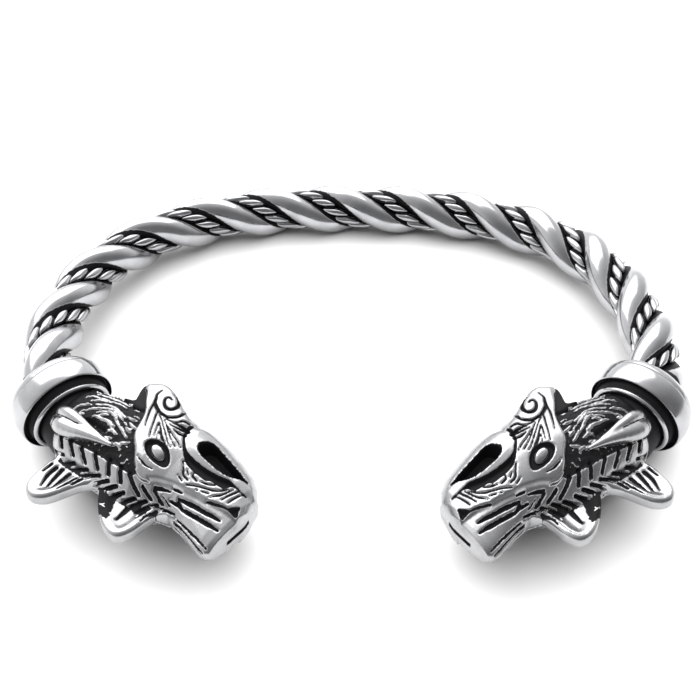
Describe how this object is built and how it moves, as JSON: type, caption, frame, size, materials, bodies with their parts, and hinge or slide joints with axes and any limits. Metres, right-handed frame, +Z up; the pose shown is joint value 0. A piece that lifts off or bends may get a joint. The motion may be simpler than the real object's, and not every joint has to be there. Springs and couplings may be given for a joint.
{
  "type": "open arm ring",
  "caption": "Open oval arm ring of twisted smooth rods and beaded wires, with a collar and a cast beast head at each end.",
  "frame": {"origin": "middle of the surface that the ring lies on, below the middle of its outline", "axes": "+X to the right with the gap between the heads in front, +Y from that gap to the middle of the back, +Z up as the ring lies on its side"},
  "size_m": [0.0711, 0.0596, 0.0108],
  "materials": {
    "polished_steel": "polished stainless steel",
    "beaded_steel": "polished bead tops, oxidised black between the beads",
    "collar_steel": "polished, oxidised black in the cove and at the neck",
    "cast_steel": "cast stainless steel with polished high places and oxidised black recesses"
  },
  "bodies": {
    "root": {"smooth_strand_a": "polished_steel", "smooth_strand_b": "polished_steel", "beaded_wire_a": "beaded_steel", "beaded_wire_b": "beaded_steel", "left_collar": "collar_steel", "right_collar": "collar_steel", "left_head": "cast_steel", "right_head": "cast_steel"}
  },
  "joints": []
}
